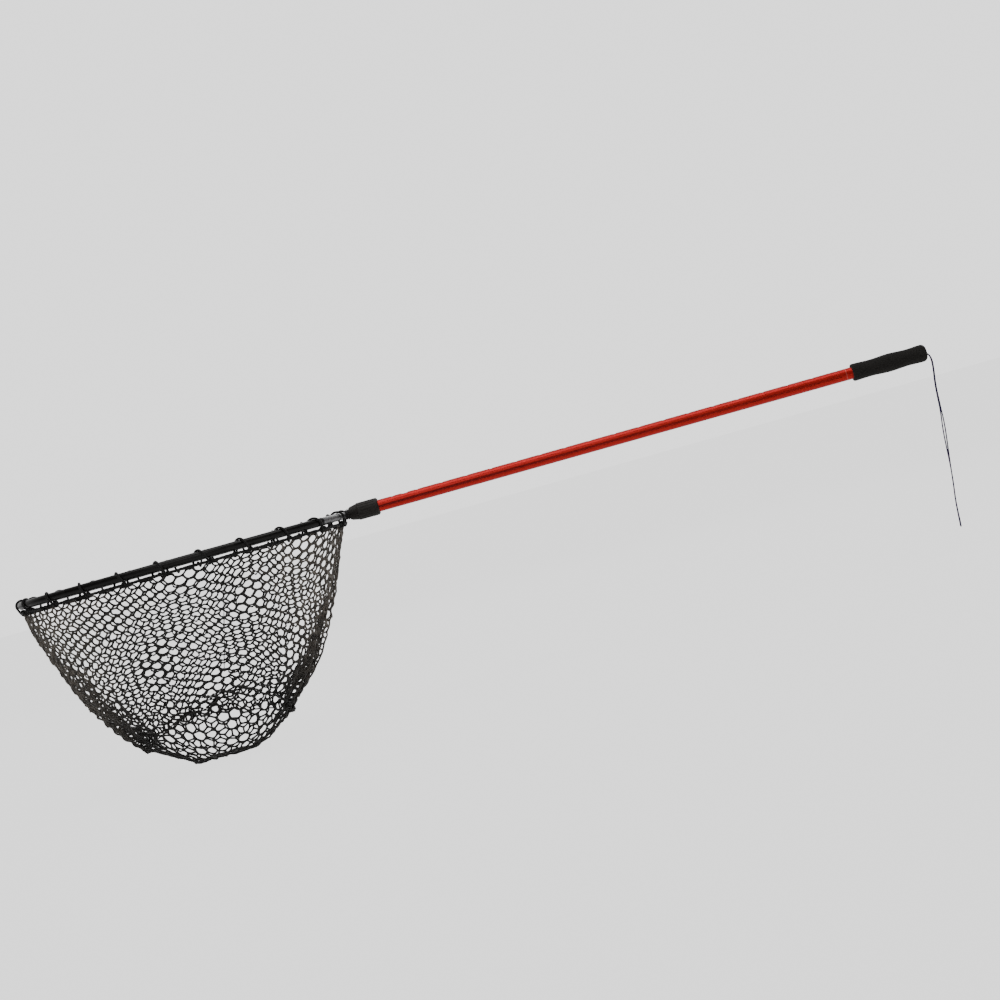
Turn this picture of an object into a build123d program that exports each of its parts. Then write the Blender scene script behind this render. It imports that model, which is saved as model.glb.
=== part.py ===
"""Landing net with a telescoping handle.

A grooved outer tube carries the foam grip, the butt plug with its lanyard and the front collar.
A grooved inner tube slides out of it and carries the oval hoop and the net bag. A sprung button
at the inner tube's rear end locks the length in one of the holes along the top of the outer tube.

Frame, millimetres: the origin is on the pole's axis at the middle of the grip, +X runs out of the
butt, the hoop lies in the XY plane at the -X end, and the bag hangs down, +Z up.
Drawn with the handle closed up to its shortest.
"""

import os
from math import atan2, cos, degrees, pi, radians, sin, tan

from build123d import *

# ---- grip and outer tube -------------------------------------------------------------------
GRIP_LENGTH = 152.0
GRIP_END_RADIUS = 17.4
GRIP_WAIST_RADIUS = 16.3
GRIP_PALM_RADIUS = 18.1
GRIP_END_WALL = 6.0
POLE_RADIUS = 12.0
POLE_WALL = 1.4
HOLE_PITCH = 50.8
HOLE_COUNT = 19
HOLE_DIAMETER = 9.2
LAST_HOLE_TO_GRIP = 29.0
COLLAR_TO_FIRST_HOLE = 30.6
DRAIN_SLOT = (16.0, 11.4)  # length, width
KEY_END_TO_GRIP = 24.0

# ---- key channels rolled into both sides of the tubes ---------------------------------------
KEY_CENTRE_RADIUS = 13.0
KEY_DROP_ANGLE = 8.0  # below the horizontal
KEY_GROOVE_RADIUS = 2.6

# ---- inner tube -----------------------------------------------------------------------------
SHAFT_RADIUS = 9.5
SHAFT_WALL = 1.2
SHAFT_CLEARANCE = 0.3
RUNNING_FIT = 0.08

# ---- front collar and neck ------------------------------------------------------------------
COLLAR_BODY_LENGTH = 44.0
COLLAR_BODY_RADIUS = 17.3
COLLAR_CONE_LENGTH = 16.5
COLLAR_NOSE_RADIUS = 11.7
COLLAR_GRIP_ON_TUBE = 22.0
COLLAR_FLUTES = 18
NECK_LENGTH = 8.3
NECK_RING_RADII = (10.1, 11.0)

# ---- hoop -----------------------------------------------------------------------------------
HOOP_TUBE_RADIUS = 8.0
HOOP_TUBE_WALL = 1.3
HOOP_LENGTH = 668.0  # outside
HOOP_WIDTH = 470.0  # outside
YOKE_ARM_RADIUS = 7.2
YOKE_ARM_ANGLE = 36.0  # each side of the pole's axis, as seen from the tip arc's centre
YOKE_PLUG_ANGLE = 10.0
ARM_RIVET_ANGLE = 39.4
NEAR_TIP_RADIUS = 165.0
FAR_TIP_RADIUS = 190.0
HEADROPE_RADIUS = 2.5
HEADROPE_DROP = 15.0
LACING_CORD_RADIUS = 1.7
LACING_LOOPS = 22

# ---- bag ------------------------------------------------------------------------------------
BAG_WALL = 3.0
BAG_WIDTH_TO_LENGTH = 0.70
# depth below the hoop, and the bag's extent along the pole at that depth, from the hoop's middle
BAG_LEVELS = (
    (22, -325, 320),
    (60, -322, 303),
    (116, -306, 278),
    (190, -281, 246),
    (250, -253, 212),
    (300, -220, 169),
    (345, -168, 117),
    (375, -120, 74),
    (392, -86, 36),
)

# ---- snap button ----------------------------------------------------------------------------
BUTTON_RADIUS = 4.5
BUTTON_FLANGE_RADIUS = 5.4
BUTTON_TRAVEL = 2.4
BUTTON_TOP = 11.7
BUTTON_SHOULDER = 6.2
FLANGE_THICKNESS = 2.0
HOUSING_LENGTH = 40.0
SPIGOT_LENGTH = 26.0
SPRING_COIL_RADIUS = 4.2
SPRING_WIRE_RADIUS = 0.4
SPRING_TURNS = 5
SPRING_SEAT = -6.8

# ---- lanyard: a doubled cord through the butt, folded at its lowest point ---------------------
LANYARD_RADIUS = 0.75
LANYARD_ROUTE = (
    (46, 0.95, 0.0),
    (61, 0.95, 0.1),
    (75, 0.95, -0.3),
    (81.6, 1.1, -7),
    (84.1, 1.5, -18),
    (82.4, 2.0, -37),
    (77.4, 1.9, -68),
    (75.4, 1.5, -106),
    (74.5, 1.3, -146),
    (69.6, 1.7, -187),
    (64.2, 2.2, -228),
    (59.8, 1.9, -266),
    (55.0, 1.6, -298),
    (52.9, 1.8, -324),
    (52.0, 2.1, -339),
    (51.5, 2.1, -347),
    (51.2, 1.8, -351),
    (51.1, -1.8, -351.2),
    (51.4, -2.1, -347),
    (52.0, -2.2, -339),
    (52.7, -1.8, -323),
    (54.6, -1.6, -297),
    (59.3, -2.0, -264),
    (63.0, -2.2, -227),
    (65.2, -1.8, -188),
    (67.8, -1.6, -155),
    (73.6, -1.4, -119),
    (75.3, -1.8, -88),
    (77.7, -2.1, -62),
    (82.2, -2.0, -35),
    (83.6, -1.5, -17),
    (81.3, -1.1, -6.6),
    (75, -0.95, -0.4),
    (61, -0.95, 0.1),
    (46, -0.95, 0.0),
)

# ---- places along the pole that follow from the sizes above -----------------------------------
grip_front = -GRIP_LENGTH / 2
grip_rear = GRIP_LENGTH / 2
tube_rear = grip_rear - GRIP_END_WALL - 2
last_hole = grip_front - LAST_HOLE_TO_GRIP
first_hole = last_hole - HOLE_PITCH * (HOLE_COUNT - 1)
collar_rear = first_hole - COLLAR_TO_FIRST_HOLE
collar_cone = collar_rear - COLLAR_BODY_LENGTH
collar_front = collar_cone - COLLAR_CONE_LENGTH
tube_front = collar_rear - COLLAR_GRIP_ON_TUBE
neck_rear = collar_front - SHAFT_CLEARANCE
hoop_front = neck_rear - NECK_LENGTH
pole_bore = POLE_RADIUS - POLE_WALL
shaft_bore = SHAFT_RADIUS - SHAFT_WALL
shaft_front = neck_rear
housing_front = last_hole - HOUSING_LENGTH / 2
housing_rear = last_hole + HOUSING_LENGTH / 2
pole_ridge = KEY_GROOVE_RADIUS + POLE_WALL
shaft_groove = pole_ridge + SHAFT_CLEARANCE
shaft_ridge = shaft_groove + SHAFT_WALL

tip_near = hoop_front - YOKE_ARM_RADIUS
tip_far = hoop_front - HOOP_LENGTH + HOOP_TUBE_RADIUS
hoop_middle = (tip_near + tip_far) / 2
hoop_half_length = (tip_near - tip_far) / 2
hoop_half_width = HOOP_WIDTH / 2 - HOOP_TUBE_RADIUS


# ---- helpers ----------------------------------------------------------------------------------
def keyed_round(radius, key_radius):
    """A round section across the pole with the two key channels cut into its sides."""
    section = Circle(radius)
    for side in (-1, 1):
        y = side * KEY_CENTRE_RADIUS * cos(radians(KEY_DROP_ANGLE))
        z = -KEY_CENTRE_RADIUS * sin(radians(KEY_DROP_ANGLE))
        section -= Pos(y, z) * Circle(key_radius)
    return section


def along_pole(section, start, end):
    """Extrudes a YZ section from start to end along the pole."""
    return extrude(Plane.YZ.offset(start) * section, amount=end - start)


def disc(radius, start, end):
    return along_pole(Circle(radius), start, end)


def turned(*points):
    """Revolves a closed outline of (distance along the pole, radius) points about the pole."""
    outline = make_face(Plane.XZ * Polyline(*points, close=True))
    return revolve(outline, axis=Axis.X)


def upright(radius, x, bottom, top):
    """A vertical cylinder on the pole's middle plane."""
    return Pos(x, 0, bottom) * extrude(Circle(radius), amount=top - bottom)


def oval_half(direction, tip_x, tip_radius):
    """The arcs of the hoop's centreline on one side of its widest place.

    Each arc is (centre, radius, start angle, end angle) in the XY plane, in degrees.
    """
    reach = hoop_half_length - tip_radius
    side_radius = (reach**2 + hoop_half_width**2 - tip_radius**2) / (
        2 * (hoop_half_width - tip_radius)
    )
    join = degrees(atan2(side_radius - hoop_half_width, reach))
    tip_centre = (tip_x - direction * tip_radius, 0)
    low_side = (hoop_middle, side_radius - hoop_half_width)
    high_side = (hoop_middle, hoop_half_width - side_radius)
    if direction > 0:
        return [
            (low_side, side_radius, -90, -join),
            (tip_centre, tip_radius, -join, join),
            (high_side, side_radius, join, 90),
        ]
    return [
        (high_side, side_radius, 90, 180 - join),
        (tip_centre, tip_radius, 180 - join, 180 + join),
        (low_side, side_radius, 180 + join, 270),
    ]


def on_oval(distance):
    """The hoop centreline's point and heading, in degrees, after a distance from the yoke."""
    distance = (distance + yoke_distance) % perimeter
    for centre, radius, start, end in hoop_arcs:
        length = radius * radians(end - start)
        if distance <= length:
            angle = start + degrees(distance / radius)
            place = (
                centre[0] + radius * cos(radians(angle)),
                centre[1] + radius * sin(radians(angle)),
            )
            return place, angle + 90
        distance -= length


def arc_bar(section, arc, drop=0.0):
    """Sweeps a section round one arc of the XY plane, drop below the hoop's plane."""
    (x, y), radius, start, end = arc
    outward = Vector(cos(radians(start)), sin(radians(start)), 0)
    begin = Vector(x, y, -drop) + outward * radius
    plane = Plane(origin=begin, x_dir=outward, z_dir=outward.cross(Vector(0, 0, -1)))
    axis = Axis(origin=(x, y, -drop), direction=(0, 0, 1))
    return revolve(plane * section, axis=axis, revolution_arc=end - start)


def joined(pieces):
    whole = pieces[0]
    for piece in pieces[1:]:
        whole += piece
    return whole


def cord_path(route):
    """Straight runs joined by tangent arcs, each as large as its two runs allow."""
    points = [Vector(*p) for p in route]
    radii = []
    for before, corner, after in zip(points, points[1:], points[2:]):
        arriving, leaving = corner - before, after - corner
        turn = radians(arriving.get_angle(leaving))
        radii.append(0.45 * min(arriving.length, leaving.length) / tan(turn / 2))
    print("cord radii, mm:", " ".join(f"{r:.1f}" for r in radii))
    return FilletPolyline(*route, radius=radii)


def arc_length(arc):
    _, radius, start, end = arc
    return radius * radians(end - start)


hoop_arcs = oval_half(1, tip_near, NEAR_TIP_RADIUS) + oval_half(-1, tip_far, FAR_TIP_RADIUS)
perimeter = sum(arc_length(arc) for arc in hoop_arcs)
yoke_distance = arc_length(hoop_arcs[0]) + arc_length(hoop_arcs[1]) / 2


# ---- pieces of the handle ---------------------------------------------------------------------
def make_outer_tube():
    """The long tube: rolled key channels, a row of length holes and a drain slot on top."""
    key_end = grip_front - KEY_END_TO_GRIP
    keyed = keyed_round(POLE_RADIUS, KEY_GROOVE_RADIUS) - keyed_round(pole_bore, pole_ridge)
    tube = along_pole(keyed, tube_front, key_end)
    tube += along_pole(Circle(POLE_RADIUS) - Circle(pole_bore), key_end, tube_rear)
    for number in range(HOLE_COUNT):
        tube -= upright(HOLE_DIAMETER / 2, first_hole + number * HOLE_PITCH, 0, 2 * POLE_RADIUS)
    slot_length, slot_width = DRAIN_SLOT
    slot = extrude(SlotOverall(slot_length, slot_width), amount=2 * POLE_RADIUS)
    tube -= Pos(first_hole + HOLE_PITCH / 2, 0, 0) * slot
    return tube - collar_screw_body()


def make_foam_grip():
    """Soft sleeve with two waists and a palm swell, closed over the end of the tube."""
    waist = GRIP_LENGTH / 4
    top = Spline(
        (grip_front + 3, GRIP_END_RADIUS),
        (-waist, GRIP_WAIST_RADIUS),
        (0, GRIP_PALM_RADIUS),
        (waist, GRIP_WAIST_RADIUS),
        (grip_rear - 9, GRIP_END_RADIUS),
    )
    rim = ThreePointArc((grip_front, 14.4), (grip_front + 0.9, 16.6), top @ 0)
    end = ThreePointArc(top @ 1, (grip_rear - 2.6, 14.9), (grip_rear, 9.0))
    hole = 3.2
    inside = Polyline(
        end @ 1,
        (grip_rear, hole),
        (grip_rear - GRIP_END_WALL, hole),
        (grip_rear - GRIP_END_WALL, POLE_RADIUS),
        (grip_front, POLE_RADIUS),
        rim @ 0,
    )
    outline = make_face(Plane.XZ * (rim + top + end + inside))
    return revolve(outline, axis=Axis.X)


def make_butt_plug():
    """Stopper in the tube's rear end, bored for the lanyard."""
    bore = 2.1
    plug = turned(
        (46, bore),
        (46, pole_bore - 0.8),
        (48, pole_bore),
        (tube_rear, pole_bore),
        (tube_rear, POLE_RADIUS),
        (tube_rear + 2, POLE_RADIUS),
        (tube_rear + 2, bore),
    )
    return plug


def make_lanyard():
    path = cord_path(LANYARD_ROUTE)
    section = Plane(origin=path @ 0, z_dir=path % 0) * Circle(LANYARD_RADIUS)
    cord = sweep(section, path=path)
    expected = pi * LANYARD_RADIUS**2 * path.length
    print(f"lanyard: {path.length:.1f} mm long, volume {cord.volume / expected:.4f} of expected")
    return cord


def make_lanyard_knot():
    """The stopper knot behind the plug, drawn as a small barrel."""
    return turned((37, 0), (37, 3.0), (38.5, 4.4), (44.5, 4.4), (46, 3.4), (46, 0))


def make_front_collar():
    """Fluted nose moulding over the front end of the outer tube."""
    bush_bore = 11.0
    nose_bore = SHAFT_RADIUS + SHAFT_CLEARANCE
    nose_depth = 11.5
    seal_front = collar_front + 4.0
    seal_width = 3.0
    chamfer = 2.6
    collar = turned(
        (collar_front, nose_bore),
        (collar_front, COLLAR_NOSE_RADIUS - 0.6),
        (collar_front + 0.6, COLLAR_NOSE_RADIUS),
        (collar_front + 2.4, COLLAR_NOSE_RADIUS + 0.4),
        (collar_front + 3.0, COLLAR_NOSE_RADIUS + 1.6),
        (collar_cone, COLLAR_BODY_RADIUS - 1.2),
        (collar_cone + 2.0, COLLAR_BODY_RADIUS),
        (collar_rear - chamfer, COLLAR_BODY_RADIUS),
        (collar_rear, COLLAR_BODY_RADIUS - chamfer),
        (collar_rear, POLE_RADIUS),
        (tube_front, POLE_RADIUS),
        (tube_front, bush_bore),
        (collar_front + nose_depth, bush_bore),
        (collar_front + nose_depth, nose_bore),
        (seal_front + seal_width, nose_bore),
        (seal_front + seal_width, bush_bore + 0.4),
        (seal_front, bush_bore + 0.4),
        (seal_front, nose_bore),
    )
    flute = extrude(
        Plane.YZ.offset(collar_front + 6) * Circle(1.5), amount=collar_rear - collar_front - 12
    )
    reach = COLLAR_BODY_RADIUS + 0.75
    for number in range(COLLAR_FLUTES):
        turn = 360 * (number + 0.5) / COLLAR_FLUTES
        collar -= Rot(X=turn) * Pos(0, 0, reach) * flute
    return collar - collar_screw_body()


def collar_screw_body():
    screw = upright(1.5, collar_screw_x, -COLLAR_BODY_RADIUS + 1.2, -pole_bore)
    return screw + upright(
        2.9, collar_screw_x, -COLLAR_BODY_RADIUS - 0.2, -COLLAR_BODY_RADIUS + 1.6
    )


def make_collar_screw():
    """Slotted screw that keeps the collar on the tube, from below."""
    slot = Pos(collar_screw_x, 0, -COLLAR_BODY_RADIUS - 0.2) * Box(8, 0.8, 1.4)
    return collar_screw_body() - slot


def make_guide_bush():
    """Sleeve in the collar that the inner tube runs in, keyed to its channels."""
    bore = keyed_round(SHAFT_RADIUS + RUNNING_FIT, shaft_groove - RUNNING_FIT)
    return along_pole(Circle(11.0) - bore, collar_front + 11.5, tube_front)


def make_wiper_ring():
    """Rubber ring in the collar's nose that keeps grit out of the slide."""
    seal_front = collar_front + 4.0
    ring = Circle(11.4) - Circle(SHAFT_RADIUS + 0.05)
    return along_pole(ring, seal_front, seal_front + 3.0)


# ---- pieces of the sliding head ------------------------------------------------------------------
def make_inner_tube():
    """The sliding tube, with the same channels as the outer one so that it can't turn."""
    outside = keyed_round(SHAFT_RADIUS, shaft_groove)
    tube = along_pole(outside - keyed_round(shaft_bore, shaft_ridge), shaft_front, housing_front)
    for x in (yoke_pin_x, spigot_pin_x):
        tube -= upright(2.0, x, -SHAFT_RADIUS - 1, SHAFT_RADIUS + 1)
    return tube


def make_yoke():
    """Cast tee: two bent arms that enter the hoop tube, a hub and a shank in the inner tube."""
    centre = (tip_near - NEAR_TIP_RADIUS, 0)
    arm_span = (centre, NEAR_TIP_RADIUS, -YOKE_ARM_ANGLE, YOKE_ARM_ANGLE)
    yoke = arc_bar(Circle(YOKE_ARM_RADIUS), arm_span)
    plug = Circle(HOOP_TUBE_RADIUS - HOOP_TUBE_WALL)
    whole = YOKE_ARM_ANGLE + YOKE_PLUG_ANGLE
    yoke += arc_bar(plug, (centre, NEAR_TIP_RADIUS, YOKE_ARM_ANGLE, whole))
    yoke += arc_bar(plug, (centre, NEAR_TIP_RADIUS, -whole, -YOKE_ARM_ANGLE))
    yoke += disc(6.9, tip_near, shaft_front)
    yoke += along_pole(keyed_round(shaft_bore, shaft_ridge), shaft_front, shaft_front + 40)
    yoke -= upright(2.0, yoke_pin_x, -SHAFT_RADIUS, SHAFT_RADIUS)
    return drill_for_rivets(yoke)


def make_neck_rings():
    """Ringed ferrule on the yoke's neck, which stops against the collar."""
    groove = NECK_RING_RADII[0] - 1.2
    step = NECK_LENGTH / 6
    front = neck_rear - NECK_LENGTH + 0.6
    points = [(front, 6.9), (front, groove)]
    for ring, radius in enumerate(NECK_RING_RADII):
        start = neck_rear - NECK_LENGTH + 1.2 + ring * 3.7
        points += [
            (start, groove),
            (start + 0.4, radius),
            (start + step + 0.6, radius),
            (start + step + 1.0, groove),
        ]
    points += [(neck_rear, groove), (neck_rear, 6.9)]
    return turned(*points)


def cross_pin(x, half_length):
    return upright(2.0, x, -half_length, half_length)


def arm_rivet_place(side):
    """Where a rivet joins the hoop tube to a yoke arm: its place and outward direction."""
    angle = radians(side * ARM_RIVET_ANGLE)
    outward = Vector(cos(angle), sin(angle), 0)
    centre = Vector(tip_near - NEAR_TIP_RADIUS, 0, 0)
    return centre + outward * NEAR_TIP_RADIUS, outward


def rivet_shank(place, outward, length=2 * HOOP_TUBE_RADIUS + 0.3):
    return Plane(origin=place, z_dir=outward) * Cylinder(2.0, length)


def drill_for_rivets(piece):
    for side in (-1, 1):
        piece -= rivet_shank(*arm_rivet_place(side), length=4 * HOOP_TUBE_RADIUS)
    return piece


def make_arm_rivets():
    """Two rivets, their domed heads on the inside of the hoop."""
    rivets = []
    for side in (-1, 1):
        place, outward = arm_rivet_place(side)
        head_plane = Plane(origin=place - outward * HOOP_TUBE_RADIUS, z_dir=outward)
        rivet = rivet_shank(place, outward)
        head = Pos(0, 0, -0.76) * Cylinder(3.6, 1.4)
        head = fillet(head.edges().sort_by(Axis.Z)[0], 0.9)
        rivets.append(rivet + head_plane * head)
    return Compound(children=rivets)


def make_hoop_tube():
    """One bent tube, open at the yoke, where its ends take the yoke's arms."""
    section = Circle(HOOP_TUBE_RADIUS) - Circle(HOOP_TUBE_RADIUS - HOOP_TUBE_WALL)
    pieces = []
    for centre, radius, start, end in hoop_arcs:
        if radius == NEAR_TIP_RADIUS:
            pieces.append(arc_bar(section, (centre, radius, YOKE_ARM_ANGLE, end)))
            pieces.append(arc_bar(section, (centre, radius, start, -YOKE_ARM_ANGLE)))
        else:
            pieces.append(arc_bar(section, (centre, radius, start, end)))
    return drill_for_rivets(joined(pieces))


def make_headrope():
    """The rope that the net's top row of meshes hangs from."""
    return joined([arc_bar(Circle(HEADROPE_RADIUS), arc, HEADROPE_DROP) for arc in hoop_arcs])


def make_lacing():
    """Cord loops that tie the headrope up to the hoop."""
    half = HOOP_TUBE_RADIUS + LACING_CORD_RADIUS + 0.2
    bottom = -(HEADROPE_DROP + HEADROPE_RADIUS + LACING_CORD_RADIUS + 0.2) + half
    sides = Line((-half, bottom), (-half, 0)) + Line((half, 0), (half, bottom))
    loop = sides + CenterArc((0, 0), half, 180, -180) + CenterArc((0, bottom), half, 0, -180)
    loop = Wire(loop.edges())
    start = Plane(origin=loop @ 0, z_dir=loop % 0)
    ring = sweep(start * Circle(LACING_CORD_RADIUS), path=loop)
    rings = []
    for number in range(LACING_LOOPS):
        (x, y), heading = on_oval(perimeter * (number + 0.5) / LACING_LOOPS)
        forward = Vector(cos(radians(heading)), sin(radians(heading)), 0)
        across = Plane(origin=(x, y, 0), x_dir=forward.cross(Vector(0, 0, 1)), z_dir=-forward)
        rings.append(across * ring)
    return Compound(children=rings)


def bag_solid(inset):
    """The bag's closed outer shape, or the space within it, inset all round."""
    rings = []
    for depth, far, near in BAG_LEVELS:
        half = (near - far) / 2 - inset
        level = -depth + (inset if depth == BAG_LEVELS[-1][0] else 0)
        ring = Ellipse(half, half * BAG_WIDTH_TO_LENGTH)
        rings.append(Pos(hoop_middle + (near + far) / 2, 0, level) * ring)
    return loft(rings, ruled=True)


def make_net_bag():
    """The hanging bag as a plain open-topped shell of its true outer shape."""
    return bag_solid(0) - bag_solid(BAG_WALL)


# ---- pieces of the lock ----------------------------------------------------------------------------
def make_button_housing():
    """Plastic block on the inner tube's rear end: guides the tube and holds the button."""
    running = keyed_round(pole_bore - 0.12, pole_ridge + 0.12)
    block = along_pole(running, housing_front, housing_rear)
    spigot = keyed_round(shaft_bore, shaft_ridge)
    block += along_pole(spigot, housing_front - SPIGOT_LENGTH, housing_front)
    shoulder = BUTTON_SHOULDER + SHAFT_CLEARANCE
    block -= upright(BUTTON_RADIUS + 0.2, last_hole, 0, POLE_RADIUS)
    block -= upright(BUTTON_FLANGE_RADIUS + 0.3, last_hole, -POLE_RADIUS, shoulder)
    return block - upright(2.0, spigot_pin_x, -POLE_RADIUS, POLE_RADIUS)


def make_spring_plug():
    """Disc that closes the button's well from below and seats the spring."""
    thickness = 1.8
    return upright(BUTTON_FLANGE_RADIUS + 0.3, last_hole, SPRING_SEAT - thickness, SPRING_SEAT)


def make_snap_button():
    """Flanged button that stands in a hole of the outer tube."""
    pin = upright(BUTTON_RADIUS, last_hole, BUTTON_SHOULDER - 0.5, BUTTON_TOP)
    pin = fillet(pin.edges().sort_by(Axis.Z)[-1], 0.3)
    flange = upright(
        BUTTON_FLANGE_RADIUS, last_hole, BUTTON_SHOULDER - FLANGE_THICKNESS, BUTTON_SHOULDER
    )
    return pin + flange


def make_button_spring():
    top = BUTTON_SHOULDER - FLANGE_THICKNESS - SPRING_WIRE_RADIUS - 0.05
    bottom = SPRING_SEAT + SPRING_WIRE_RADIUS + 0.05
    coil = Helix((top - bottom) / SPRING_TURNS, top - bottom, SPRING_COIL_RADIUS)
    wire = Plane(origin=coil @ 0, z_dir=coil % 0) * Circle(SPRING_WIRE_RADIUS)
    return Pos(last_hole, 0, bottom) * sweep(wire, path=coil, is_frenet=True)


collar_screw_x = collar_rear - COLLAR_GRIP_ON_TUBE / 2
yoke_pin_x = shaft_front + 20
spigot_pin_x = housing_front - SPIGOT_LENGTH / 2

NODES = {
    "outer_tube": make_outer_tube,
    "foam_grip": make_foam_grip,
    "butt_plug": make_butt_plug,
    "lanyard": make_lanyard,
    "lanyard_knot": make_lanyard_knot,
    "front_collar": make_front_collar,
    "collar_screw": make_collar_screw,
    "guide_bush": make_guide_bush,
    "wiper_ring": make_wiper_ring,
    "inner_tube": make_inner_tube,
    "yoke": make_yoke,
    "yoke_pin": lambda: cross_pin(yoke_pin_x, SHAFT_RADIUS - 0.1),
    "neck_rings": make_neck_rings,
    "arm_rivets": make_arm_rivets,
    "hoop_tube": make_hoop_tube,
    "headrope": make_headrope,
    "lacing": make_lacing,
    "net_bag": make_net_bag,
    "button_housing": make_button_housing,
    "housing_pin": lambda: cross_pin(spigot_pin_x, SHAFT_RADIUS - 0.1),
    "spring_plug": make_spring_plug,
    "button_spring": make_button_spring,
    "snap_button": make_snap_button,
}

if __name__ == "__main__":
    os.makedirs("parts", exist_ok=True)
    for name, make in NODES.items():
        export_step(make(), f"parts/{name}.step")
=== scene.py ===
"""The landing net's looks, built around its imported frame.

Shapes are worked out in millimetres, and add_mesh turns them into metres. The camera, the
lanyard's radius, the materials, the floor and the lights are in metres.
"""

from math import atan2, cos, pi, radians, sin

import bpy
import numpy as np
from mathutils import Matrix, Vector


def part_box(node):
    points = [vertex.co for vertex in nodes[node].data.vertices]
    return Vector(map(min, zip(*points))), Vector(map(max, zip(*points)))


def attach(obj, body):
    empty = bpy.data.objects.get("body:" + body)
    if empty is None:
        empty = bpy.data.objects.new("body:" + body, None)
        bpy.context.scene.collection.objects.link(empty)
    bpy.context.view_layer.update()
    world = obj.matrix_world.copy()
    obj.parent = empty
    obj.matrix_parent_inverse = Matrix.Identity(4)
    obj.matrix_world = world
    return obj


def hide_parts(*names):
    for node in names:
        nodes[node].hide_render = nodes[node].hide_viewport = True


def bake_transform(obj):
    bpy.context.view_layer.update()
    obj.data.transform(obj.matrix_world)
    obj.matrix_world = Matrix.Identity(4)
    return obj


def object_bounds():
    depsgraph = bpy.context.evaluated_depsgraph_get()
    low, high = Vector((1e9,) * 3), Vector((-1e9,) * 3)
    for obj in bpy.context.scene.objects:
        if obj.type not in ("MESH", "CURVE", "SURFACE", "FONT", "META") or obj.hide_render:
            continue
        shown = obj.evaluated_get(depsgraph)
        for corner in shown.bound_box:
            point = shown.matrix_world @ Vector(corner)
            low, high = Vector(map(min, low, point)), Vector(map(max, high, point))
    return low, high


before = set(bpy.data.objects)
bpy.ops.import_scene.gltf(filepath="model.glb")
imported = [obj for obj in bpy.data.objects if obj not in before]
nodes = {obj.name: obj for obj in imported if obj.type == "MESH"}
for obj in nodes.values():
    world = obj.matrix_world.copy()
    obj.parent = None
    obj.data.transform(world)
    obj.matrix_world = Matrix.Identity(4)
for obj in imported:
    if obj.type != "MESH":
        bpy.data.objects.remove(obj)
cad_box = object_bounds()
rng = np.random.default_rng(41)
MM = 0.001


# ---- camera ------------------------------------------------------------------------------------
EYE = Vector((-0.8066, -3.4, -0.020))
YAW, PITCH_ANGLE, ROLL = radians(-0.15), radians(-0.573), radians(-15.678)
LENS_MM = 61.7
FARTHEST_SEEN = 200

forward = Vector((sin(YAW) * cos(PITCH_ANGLE), cos(YAW) * cos(PITCH_ANGLE), sin(PITCH_ANGLE)))
level = Vector((cos(YAW), -sin(YAW), 0))
upright = level.cross(forward)
right = cos(ROLL) * level + sin(ROLL) * upright
top = -sin(ROLL) * level + cos(ROLL) * upright
camera_data = bpy.data.cameras.new("camera")
camera_data.lens = LENS_MM
camera_data.clip_end = FARTHEST_SEEN
camera = bpy.data.objects.new("camera", camera_data)
bpy.context.scene.collection.objects.link(camera)
camera.matrix_world = Matrix.Translation(EYE) @ Matrix((right, top, -forward)).transposed().to_4x4()
bpy.context.scene.camera = camera


# ---- helpers -----------------------------------------------------------------------------------
def add_mesh(name, points, faces, material=None, smooth=True):
    """A new mesh object from points in millimetres."""
    mesh = bpy.data.meshes.new(name)
    mesh.from_pydata([tuple(p) for p in np.asarray(points) * MM], [], faces)
    mesh.validate()
    mesh.polygons.foreach_set("use_smooth", [smooth] * len(mesh.polygons))
    if material:
        mesh.materials.append(material)
    piece = bpy.data.objects.new(name, mesh)
    bpy.context.scene.collection.objects.link(piece)
    return piece


def along(path, closed):
    """Unit directions along a path of points."""
    if closed:
        ahead, behind = np.roll(path, -1, 0), np.roll(path, 1, 0)
    else:
        ahead = np.vstack([path[1:], path[-1:]])
        behind = np.vstack([path[:1], path[:-1]])
    step = ahead - behind
    return step / np.linalg.norm(step, axis=1)[:, None]


def rounded(path, per_span, closed):
    """A Catmull-Rom line through a path's points."""
    p = np.asarray(path, float)
    if closed:
        p = np.vstack([p[-1:], p, p[:2]])
    else:
        p = np.vstack([2 * p[0] - p[1], p, 2 * p[-1] - p[-2]])
    t = np.linspace(0, 1, per_span, endpoint=False)[:, None]
    spans = []
    for a, b, c, d in zip(p, p[1:], p[2:], p[3:]):
        spans.append(
            0.5 * (2 * b + (c - a) * t + (2 * a - 5 * b + 4 * c - d) * t**2
                   + (3 * b - a - 3 * c + d) * t**3)
        )
    whole = np.vstack(spans)
    return whole if closed else np.vstack([whole, p[-2:-1]])


def frames(path, closed):
    """Directions along, and two directions across that turn as little as they can."""
    d = along(path, closed)
    first = np.cross(d[0], (0.3, 0.2, 1.0))
    across = [first / np.linalg.norm(first)]
    for way in d[1:]:
        a = across[-1] - way * np.dot(across[-1], way)
        across.append(a / np.linalg.norm(a))
    across = np.array(across)
    return d, across, np.cross(d, across)


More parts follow.
